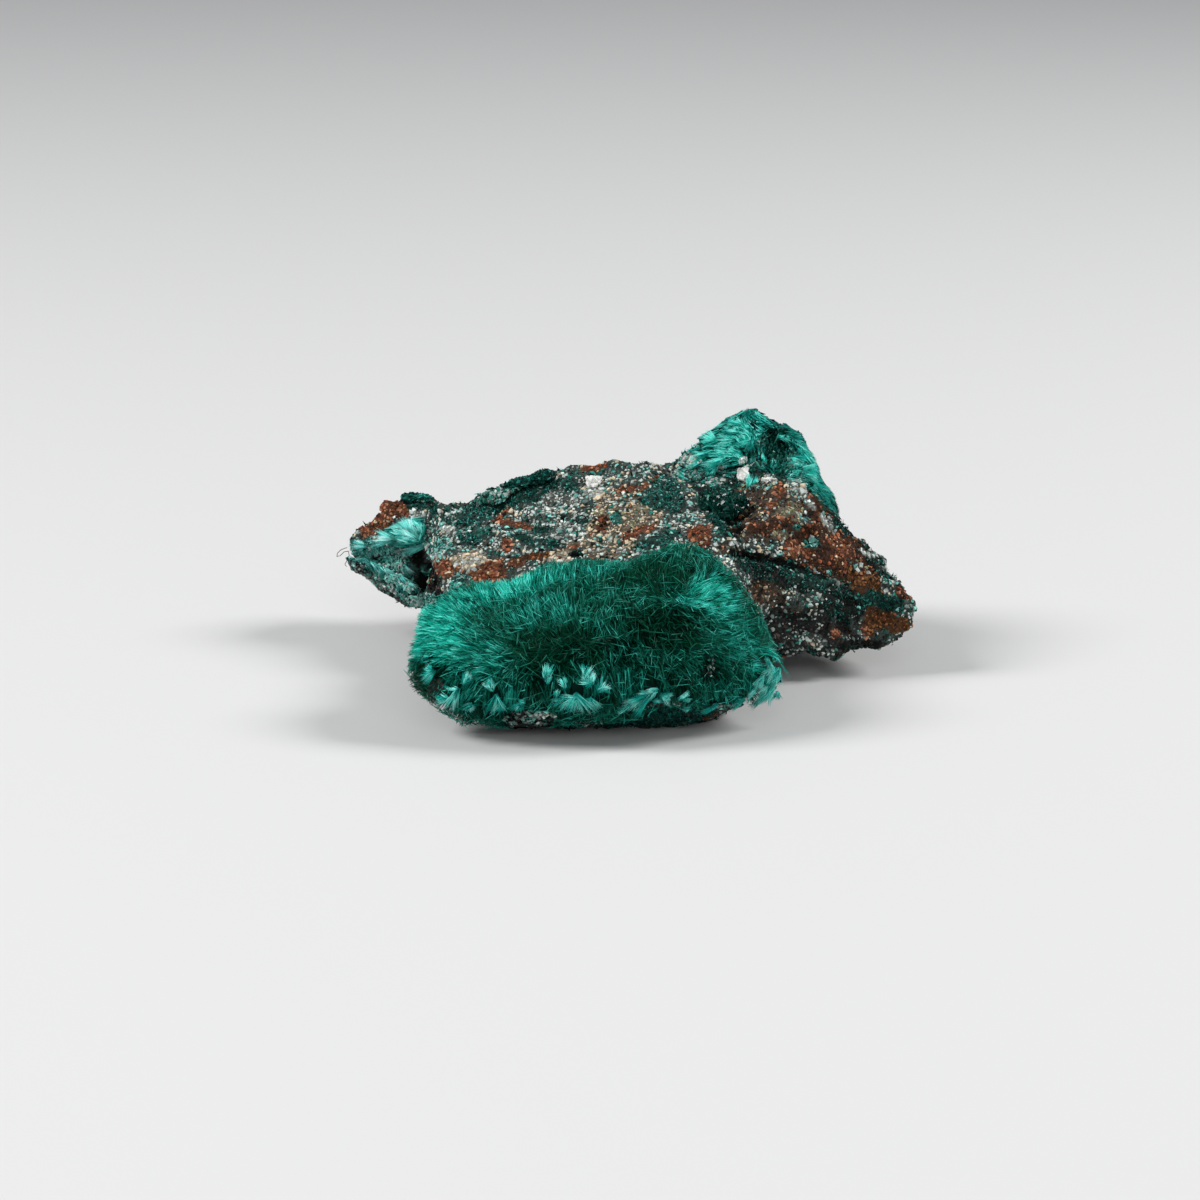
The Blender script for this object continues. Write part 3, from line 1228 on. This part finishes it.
# The silky crusts on the left wing, the peak and the back edge
peakFlows = [
    ((745, 415), (-0.5, -0.85)), ((760, 430), (-0.2, -1.0)), ((722, 436), (-0.8, -0.5)),
    ((715, 452), (-0.9, 0.1)), ((700, 474), (-0.6, 0.8)), ((722, 466), (-0.75, 0.6)),
    ((740, 452), (-0.9, -0.1)), ((752, 462), (-0.3, -0.95)), ((764, 460), (0.1, -1.0)),
    ((790, 436), (0.8, -0.4)), ((800, 448), (0.95, -0.05)), ((796, 464), (0.8, 0.5)),
    ((812, 478), (0.75, 0.65)), ((826, 494), (0.6, 0.8)), ((838, 516), (0.8, 0.4)),
    ((690, 452), (-0.8, 0.4)),
]
peakPaint = [
    ((745, 424, 24, 14, -35), 0.9), ((712, 466, 20, 9, -40), 0.9), ((728, 442, 24, 9, -20), 0.5),
    ((806, 468, 22, 15, 35), 1.0), ((764, 456, 8, 10, 0), 0.8), ((826, 494, 16, 8, 50), 0.5),
    ((692, 450, 20, 8, -28), 0.7), ((790, 442, 12, 5, -20), 0.6), ((776, 445, 12, 24, 8), -1.0),
    ((786, 466, 6, 8, 0), -0.6), ((798, 436, 6, 6, 0), -0.6), ((705, 440, 8, 1.6, -10), -0.6),
    ((735, 474, 24, 4, 0), -0.6), ((838, 512, 9, 14, -20), -0.6), ((752, 446, 6, 4, -30), -0.5),
]
# What the two dark crusts at the back have in common
darkCrust = {
    "gather": 0.2, "turn": 0.7, "lean": (0.5, 0.4), "tipsMm": (-0.1, 0.3), "lengthMm": (0.5, 1.1),
    "widthMm": (0.07, 0.15), "finish": mossFinish, "shoulder": 0.85,
}
# Crusts may carry grains as well: zone, patch, how many
crusts = {
    "brochantite_left_fan": {
        "name": "leftFan", "needles": 3000, "locks": 110,
        "flows": [
            ((420, 541), (-1.0, -0.05)), ((392, 533), (-0.85, -0.5)), ((388, 548), (-0.95, 0.2)),
            ((372, 540), (-1.0, 0.0)), ((405, 528), (-0.7, -0.7)), ((426, 530), (-0.3, -0.9)),
        ],
        "gather": 0.5, "turn": 0.08, "lean": (0.05, 1.0), "tipsMm": (-0.2, 0.15), "lengthMm": (1.2, 2.6),
        "widthMm": (0.055, 0.1), "finish": paleFinish, "glow": 0.65,
        "paint": [((408, 540, 20, 9, -10), 1.8), ((378, 540, 10, 5, 0), -0.4), ((390, 550, 30, 2, -8), -0.9)],
    },
    "brochantite_left_drape": {
        "name": "leftDrape", "needles": 5200, "locks": 200,
        "flows": [
            ((346, 550), (-0.8, 0.2)), ((366, 560), (0.75, 0.65)), ((390, 572), (0.75, 0.65)),
            ((414, 592), (0.6, 0.8)), ((428, 604), (0.5, 0.85)),
        ],
        "gather": 0.75, "turn": 0.3, "lean": (0.15, 1.0), "tipsMm": (-0.2, 0.25), "lengthMm": (0.7, 1.8),
        "widthMm": (0.04, 0.08), "finish": brightFinish, "glow": 0.4,
        "paint": [
            ((396, 574, 28, 9, 35), 1.5), ((372, 560, 20, 6, 30), 0.5), ((366, 574, 20, 3, 38), -0.7),
            ((424, 600, 8, 8, 0), 1.0), ((400, 590, 14, 3, 40), -0.6),
        ],
        "bare": [(376, 588, 40, 9, 38), (420, 602, 12, 8, 0)],
        "grains": [
            ("greyKnobs", (376, 588, 48, 12, 38), 2600), ("knobs", (402, 578, 22, 10, 38), 1500),
            ("knobs", (420, 602, 14, 9, 0), 1500),
        ],
    },
    "brochantite_left_cap": {
        **darkCrust, "name": "leftCap", "needles": 900, "locks": 300, "glow": 0.4, "paint": [],
        "rootsMm": [(-20.2, 16.3, 10.6)],
        "grains": [("bottle", (419, 506, 40, 30, 0), 420), ("aqua", (419, 506, 40, 30, 0), 220)],
    },
    "brochantite_back_edge": {
        **darkCrust, "name": "backEdge", "needles": 2600, "locks": 900, "glow": 0.1,
        "rootsMm": [(-8.8, 12.3, 13.0)],
        "paint": [((534, 490, 20, 8, -20), -0.3)],
        "bare": [(480, 508, 48, 17, -16)],
        "grains": [
            ("mossy", (480, 508, 48, 18, -16), 1500), ("greyKnobs", (486, 504, 30, 12, -18), 500),
            ("bottle", (534, 490, 24, 18, -18), 500),
        ],
    },
    "brochantite_peak": {
        "name": "peakSilk", "needles": 17500, "locks": 800, "flows": peakFlows, "paint": peakPaint,
        "gather": 0.6, "turn": 0.22, "lean": (0.08, 1.0), "tipsMm": (-0.25, 0.15), "lengthMm": (0.7, 1.9),
        "widthMm": (0.05, 0.115), "finish": silkFinish, "glow": 0.5,
        "bare": [(690, 460, 11, 8, -10), (770, 480, 8, 6, 0), (740, 486, 34, 4, -4), (776, 447, 11, 23, 8)],
        "cavity": (776, 447, 12, 24, 8), "cavityMm": 0.9,
    },
}
# Grains of the crusts, and patches of more of them laid on whatever is there
crustGrains = {
    "perPatch": 260,
    "sizeMm": (0.13, 0.27),
    "rough": (0.2, 0.5),
    "flatness": 0.3,
    "sinkMm": 0.12,
    "patchSinkMm": 0.1,
    "patches": [
        ("snowy", (690, 460, 11, 8, -10)), ("snowy", (770, 480, 8, 6, 0)), ("mossy", (740, 486, 34, 4, -4)),
        ("snowy", (747, 462, 7, 5, 20)), ("greyKnobs", (530, 720, 26, 9, 3)),
        ("hollow", (522, 728, 16, 5, 0)), ("greyKnobs", (735, 709, 18, 4, -8)),
        ("hollow", (436, 690, 8, 10, 30)), ("knobs", (398, 573, 15, 12, 35)),
        ("knobs", (388, 562, 10, 6, 20)), ("knobs", (425, 600, 10, 7, 20)),
        ("greyKnobs", (398, 556, 18, 4, -8)), ("knobs", (436, 558, 9, 5, 0)),
        ("snowy", (720, 470, 8, 2.5, -20)),
    ],
}
crustTrees = {}
grainSpots, grainNormals, grainZones = [], [], []
for node, crust in crusts.items():
    name = crust["name"]
    core, guide, tree = crustCore(node, name + "Core", voxelMm=0.3, sinkMm=0.4)
    crustTrees[node] = tree
    needles = crustNeedles(guide, crust, tree)
    layNeedles(name, needles, crust["finish"], crust.get("shoulder"))
    for zone, patch, count in crust.get("grains", []):
        spots, normals = scatterOn(guide, count)
        inside = patchShare(photoPixels(spots), patch) > rng.uniform(0.2, 0.8, count)
        inside &= ~facesRock(spots, normals, rockGap["underGrainsMm"])
        inside &= spots[:, 2] > rockGrains["seatsAboveMm"] * mm
        grainSpots += list(spots[inside] - normals[inside] * crustGrains["sinkMm"] * mm)
        grainNormals += list(normals[inside])
        grainZones += [zoneNames.index(zone)] * inside.sum()
    bpy.data.objects.remove(guide)
    if "cavity" in crust:
        # A dark hollow, pressed into the ground of the silk
        places = pointsOf(core)
        depth = patchShare(photoPixels(places), crust["cavity"]) * crust["cavityMm"] * mm
        depth *= normalsOf(core) @ viewForward < 0
        setPoints(core, places + depth[:, None] * viewForward)
        cavityTree = treeOf(core)

# Silk that runs on over the rock beside the peak and the left drape, and under the mound's rim
rockSilks = {
    "peakFace": {
        **crusts["brochantite_peak"], "needles": 9000, "locks": 500, "tipsMm": (-0.05, 0.3),
        "only": [
            (752, 438, 22, 24, -10), (794, 440, 20, 14, 30), (806, 466, 24, 20, 35), (722, 470, 26, 9, -30),
            (826, 496, 14, 20, -30), (700, 470, 14, 9, -30), (764, 462, 5, 8, 0), (690, 448, 18, 7, -28),
            (684, 472, 14, 7, -30),
        ],
        "bare": [(690, 460, 11, 8, -10), (770, 480, 8, 6, 0), (776, 447, 11, 23, 8), (803, 496, 22, 6, 46)],
    },
    "leftSilk": {
        **crusts["brochantite_left_drape"], "needles": 3200, "locks": 130, "tipsMm": (-0.05, 0.3),
        "glow": 0.85,
        "only": [(374, 552, 28, 7, 10), (362, 548, 14, 6, 0)],
        "bare": [(421, 574, 12, 22, -12)],
    },
    "underRim": {
        **crusts["brochantite_left_drape"], "needles": 2600, "locks": 120, "tipsMm": (-0.05, 0.3),
        "flows": [((630, 716), (-0.6, 0.8)), ((670, 716), (0.1, 1.0)), ((710, 712), (0.6, 0.8))],
        "only": [(668, 714, 52, 9, -5)], "bare": [], "paint": [((648, 706, 20, 6, 0), 0.8)],
        "finish": silkFinish, "glow": 0.1,
    },
}
for name, crust in rockSilks.items():
    layNeedles(name, crustNeedles(skin, crust, rockTree), crust["finish"])


# Fans on the peak and the left wing
peakFans = {
    **edgeFans,
    "needles": 170,
    "satellites": 0,
    "widthMm": 0.06,
    "places": [
        ((790, 456), 318, 50, 2.2), ((796, 462), 312, 50, 2.4), ((789, 470), 330, 60, 2.0),
        ((805, 474), 310, 40, 2.0), ((800, 468), 318, 40, 2.2), ((812, 484), 305, 40, 1.6),
        ((724, 458), 215, 40, 2.6), ((716, 466), 222, 36, 2.6), ((766, 470), 105, 50, 1.8),
        ((772, 472), 80, 40, 1.5), ((742, 424), 130, 90, 1.6), ((752, 428), 120, 80, 1.4),
        ((734, 440), 160, 60, 1.8), ((780, 436), 340, 50, 1.2), ((708, 452), 195, 60, 2.0),
        ((716, 440), 150, 60, 1.8), ((744, 412), 235, 50, 1.8), ((700, 462), 190, 60, 1.6),
        ((748, 487), 88, 60, 1.4), ((753, 484), 70, 40, 1.2), ((792, 446), 325, 40, 1.7),
        ((804, 470), 318, 40, 1.9), ((818, 490), 308, 40, 1.7), ((750, 440), 250, 70, 1.8),
    ],
}
layFans("peakFans", peakFans, (crustTrees["brochantite_peak"], rockTree), silkFinish)
wingFans = {
    **edgeFans,
    "needles": 230,
    "satellites": 0,
    "widthMm": 0.045,
    "places": [
        ((424, 545), 168, 40, 4.2), ((421, 541), 145, 50, 3.2), ((412, 534), 125, 60, 2.0),
        ((396, 540), 172, 50, 2.8), ((368, 547), 172, 40, 1.8), ((374, 543), 160, 40, 1.4),
        ((402, 566), 300, 60, 1.6), ((392, 560), 310, 60, 1.6), ((412, 578), 290, 50, 1.4),
    ],
}
wingTrees = (crustTrees["brochantite_left_fan"], crustTrees["brochantite_left_drape"], rockTree)
layFans("wingFans", wingFans, wingTrees, brightFinish)


# Grains in the bare patches of the peak, on the other crusts and where rock shows under the mound
trees = (*crustTrees.values(), velvetTree, rockTree)
for zone, (across, down, halfWidth, halfHeight, _) in crustGrains["patches"]:
    for x, y in rng.uniform(-1, 1, (crustGrains["perPatch"], 2)):
        hit = frontHit(trees, (across + x * halfWidth, down + y * halfHeight))
        if hit and x * x + y * y < 1 and hit[0].z > rockGrains["middlesAboveMm"] * mm:
            grainSpots.append(np.array(hit[0] - hit[1] * crustGrains["patchSinkMm"] * mm))
            grainNormals.append(np.array(hit[1]))
            grainZones.append(zoneNames.index(zone))
grainSpots, grainNormals, grainZones = np.array(grainSpots), np.array(grainNormals), np.array(grainZones)
sizes = rng.uniform(*crustGrains["sizeMm"], len(grainSpots)) * mm
colours = grainColours(grainZones, grainSpots)
rough = rng.uniform(*crustGrains["rough"], len(grainSpots))
layGrains("crustGrains", grainSpots, grainNormals, sizes, colours, rough, crustGrains["flatness"])


# Short green blades that grow between the grains of the rock
moss = {
    "share": 0.32,
    "perSeat": 5,
    "scatterMm": 0.12,
    "upright": 0.45,
    "splay": 0.7,
    "out": 0.75,
    "lengthMm": (0.25, 0.6),
    "widthMm": (0.05, 0.10),
    "glow": {"bottle": 0.3, "aqua": 0.95, "mossy": 0.7, "speckled": 0.25, "knobs": 0.9},
}
growing = np.isin(frontZones, [zoneNames.index(name) for name in moss["glow"]])
growing &= rng.uniform(0, 1, len(frontZones)) < moss["share"]
spots = np.repeat(frontSpots[growing], moss["perSeat"], axis=0)
normals = np.repeat(frontNormals[growing], moss["perSeat"], axis=0)
zoneGlows = np.array([moss["glow"].get(name, 0) for name in zoneNames])
ways = unit(normals * moss["upright"] + rng.normal(size=normals.shape) * moss["splay"])
lengths = rng.uniform(*moss["lengthMm"], len(spots)) * mm
spots = spots + rng.normal(size=spots.shape) * moss["scatterMm"] * mm
layNeedles("mossBlades", {
    "tips": spots + ways * (lengths * moss["out"])[:, None],
    "ways": ways,
    "lengths": lengths,
    "widths": rng.uniform(*moss["widthMm"], len(spots)) * mm,
    "tones": rng.uniform(0, 1, len(spots)),
    "glows": np.repeat(zoneGlows[frontZones[growing]], moss["perSeat"]),
}, mossFinish)


# Dark prisms in the hollow below the peak
vug = {
    "prisms": 700,
    "lengthMm": (0.5, 1.2),
    "widthMm": (0.07, 0.16),
    "tipsMm": (-0.3, 0.25),
    "splay": 0.5,
    "shoulder": 0.9,
}
vugFinish, start, shader = newFinish("vugPrisms", Roughness=0.22, Specular_IOR_Level=0.3)
tone = start.attribute("tone")
along = start.attribute("along")
colour = start.mixColours((along * 0.5 + tone * 0.6).held(), (0.0, 0.005, 0.004), (0.002, 0.085, 0.06))
feed(start.mixColours((tone * 6.0 - 5.2).held(), colour, (0.05, 0.28, 0.22)), shader, "Base Color")
_, guide, _ = crustCore("brochantite_vug", "vugCore", voxelMm=0.35, sinkMm=0.5)
tips, normals = scatterOn(guide, vug["prisms"])
tips = tips + normals * rng.uniform(*vug["tipsMm"], len(tips))[:, None] * mm
layNeedles("vugPrisms", {
    "tips": tips,
    "ways": unit(normals + rng.normal(size=tips.shape) * vug["splay"]),
    "lengths": rng.uniform(*vug["lengthMm"], len(tips)) * mm,
    "widths": rng.uniform(*vug["widthMm"], len(tips)) * mm,
    "tones": rng.uniform(0, 1, len(tips)),
    "glows": np.zeros(len(tips)),
}, vugFinish, vug["shoulder"])
bpy.data.objects.remove(guide)

# The same prisms in the dark cavity of the peak
cavity = {
    "prisms": 460,
    "middlePx": (776, 451),
    "spreadPx": (5.0, 11.0),
    "lengthMm": (0.5, 1.3),
    "lift": 0.6,
    "toCamera": 0.5,
    "splay": 0.35,
    "out": 0.6,
    "tones": (0.4, 1.15),
}
cavityPixels = pixelsAround(cavity["middlePx"], cavity["spreadPx"], cavity["prisms"])
hits = [frontHit((cavityTree, rockTree), pixel) for pixel in cavityPixels]
tips = np.array([hit[0] for hit in hits if hit])
ways = cavity["lift"] * viewUp - cavity["toCamera"] * viewForward
ways = unit(ways + rng.normal(size=tips.shape) * cavity["splay"])
lengths = rng.uniform(*cavity["lengthMm"], len(tips)) * mm
layNeedles("cavityPrisms", {
    "tips": tips + ways * (lengths * cavity["out"])[:, None],
    "ways": ways,
    "lengths": lengths,
    "widths": rng.uniform(*vug["widthMm"], len(tips)) * mm,
    "tones": rng.uniform(*cavity["tones"], len(tips)),
    "glows": np.zeros(len(tips)),
}, vugFinish, vug["shoulder"])


# A curled fibre of dust that clings to the tip of the left wing
dust = {
    "pathPx": [
        (353, 549), (347, 547.5), (341, 549.5), (337.5, 553), (337, 556.5), (340, 556), (344, 552),
        (348, 551), (349, 555), (347, 560), (345, 564), (347, 567), (351, 568),
    ],
    "anchorPx": (356, 552),
    "waveMm": 0.4,
    "bend": 0.3,
    "radiusMm": 0.035,
    "sides": 5,
    "steps": 5,
}
anchor, _ = hitFrom(rockTree, dust["anchorPx"])
reach = (anchor - viewPlace) @ viewForward
corners = []
for index, pixel in enumerate(dust["pathPx"]):
    ray = pixelRay(pixel)
    place = viewPlace + ray * (reach / (ray @ viewForward))
    corners.append(Vector(place + dust["waveMm"] * mm * math.sin(index) * viewForward))
track = []
for index in range(1, len(corners) - 2):
    before, first, second, after = corners[index - 1:index + 3]
    for step in range(dust["steps"]):
        share = step / dust["steps"]
        bend = (first - before) * (1 - share) + (after - second) * share
        track.append(first.lerp(second, share) + bend * share * (1 - share) * dust["bend"])
points, faces = [], []
for index, place in enumerate(track):
    along = (track[min(index + 1, len(track) - 1)] - track[max(index - 1, 0)]).normalized()
    side = along.cross(Vector(viewForward)).normalized()
    other = along.cross(side)
    for corner in range(dust["sides"]):
        turn = 2 * math.pi * corner / dust["sides"]
        points.append(place + (side * math.cos(turn) + other * math.sin(turn)) * dust["radiusMm"] * mm)
ring = dust["sides"]
for index in range(len(track) - 1):
    for corner in range(ring):
        a, b = index * ring + corner, index * ring + (corner + 1) % ring
        faces += [(a, b, b + ring), (a, b + ring, a + ring)]
last = (len(track) - 1) * ring
for corner in range(1, ring - 1):
    faces += [(0, corner + 1, corner), (last, last + corner, last + corner + 1)]
dustFinish, _, _ = newFinish("dustFibre", Roughness=0.7, Base_Color=(0.10, 0.075, 0.055, 1))
addPiece("dustFibre", np.array(points), np.array(faces), dustFinish, {}, True)


# The larger white crystals, each a knot of grown-together grains
whiteCrystals = {"voxelMm": 0.11, "grainMm": 0.55, "creaseMm": 0.2, "creaseNarrow": 4, "sinkMm": 0.12}
crystalFinish, start, shader = newFinish("whiteCrystal", Roughness=0.35)
cloud = objectPattern(start, "ShaderNodeTexNoise", 1900.0, Detail=5.0, Roughness=0.65)
stain = objectPattern(start, "ShaderNodeTexNoise", 700.0, Detail=3.0)
colour = start.mixColours(cloud, (0.60, 0.60, 0.57), (0.96, 0.96, 0.93))
feed(start.mixColours((stain * 5.0 - 2.9).held() * 0.4, colour, (0.46, 0.36, 0.25)), shader, "Base Color")
feedBump(cloud, shader, strength=0.5, distanceMm=0.08)
for node, name in (("white_crystal_middle", "whiteMiddle"), ("white_crystal_peak", "whitePeak"),
                   ("white_crystal_right", "whiteRight")):
    crystal = copyOfNode(node, name)
    applyModifier(crystal, "REMESH", mode="VOXEL", voxel_size=whiteCrystals["voxelMm"] * mm)
    places = pointsOf(crystal)
    sink = np.full(len(places), whiteCrystals["sinkMm"])
    for index, place in enumerate(places):
        nearest = noise.voronoi(Vector(place) / (whiteCrystals["grainMm"] * mm))[0]
        crease = 1 - (nearest[1] - nearest[0]) * whiteCrystals["creaseNarrow"]
        sink[index] += whiteCrystals["creaseMm"] * max(0.0, crease)
    setPoints(crystal, places - normalsOf(crystal) * sink[:, None] * mm)
    setFinish(crystal, crystalFinish)
    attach(crystal, "root")
    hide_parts(node)
print("white crystals done")


# Floor, lights and camera
bpy.ops.mesh.primitive_plane_add(size=4.0, location=(0, 0, 0))
floor = bpy.context.active_object
floor.name = "floor"
floorFinish, _, _ = newFinish("paleFloor", Roughness=0.7, Base_Color=(0.66, 0.66, 0.65, 1))
floor.data.materials.append(floorFinish)
floor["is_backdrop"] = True

lights = {
    "leftKey": {"place": (-0.62, -0.12, 0.55), "size": 0.35, "power": 5.8},
    "rightKey": {"place": (0.60, 0.10, 0.50), "size": 0.32, "power": 4.6},
    "frontFill": {"place": (0.05, -0.80, 0.42), "size": 0.6, "power": 2.0},
}
lightsAim = Vector((0, 0, 0.008))
for name, light in lights.items():
    bpy.ops.object.light_add(type="AREA", location=light["place"])
    lamp = bpy.context.active_object
    lamp.name = name
    lamp.data.shape = "DISK"
    lamp.data.size = light["size"]
    lamp.data.energy = light["power"]
    lamp.rotation_euler = (lightsAim - lamp.location).to_track_quat("-Z", "Y").to_euler()

world = bpy.data.worlds.new("softRoom")
bpy.context.scene.world = world
world.use_nodes = True
background = world.node_tree.nodes["Background"]
background.inputs["Color"].default_value = (0.9, 0.93, 1.0, 1)
background.inputs["Strength"].default_value = 0.22
bpy.context.scene.view_settings.view_transform = "Standard"

bpy.ops.object.camera_add()
camera = bpy.context.active_object
camera.data.lens = photoView["lensMm"]
camera.data.sensor_width = photoView["sensorMm"]
turned = Matrix((viewRight, viewUp, -viewForward)).transposed().to_4x4()
camera.matrix_world = Matrix.Translation(viewPlace) @ turned
bpy.context.scene.camera = camera

triangles = sum(len(piece.data.loop_triangles) for piece in bpy.data.objects if piece.type == "MESH")
print("triangles:", triangles)
seenLow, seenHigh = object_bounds()
sizes = {"cad": [list(cadLow), list(cadHigh)], "visual": [list(seenLow), list(seenHigh)]}
print("size written")
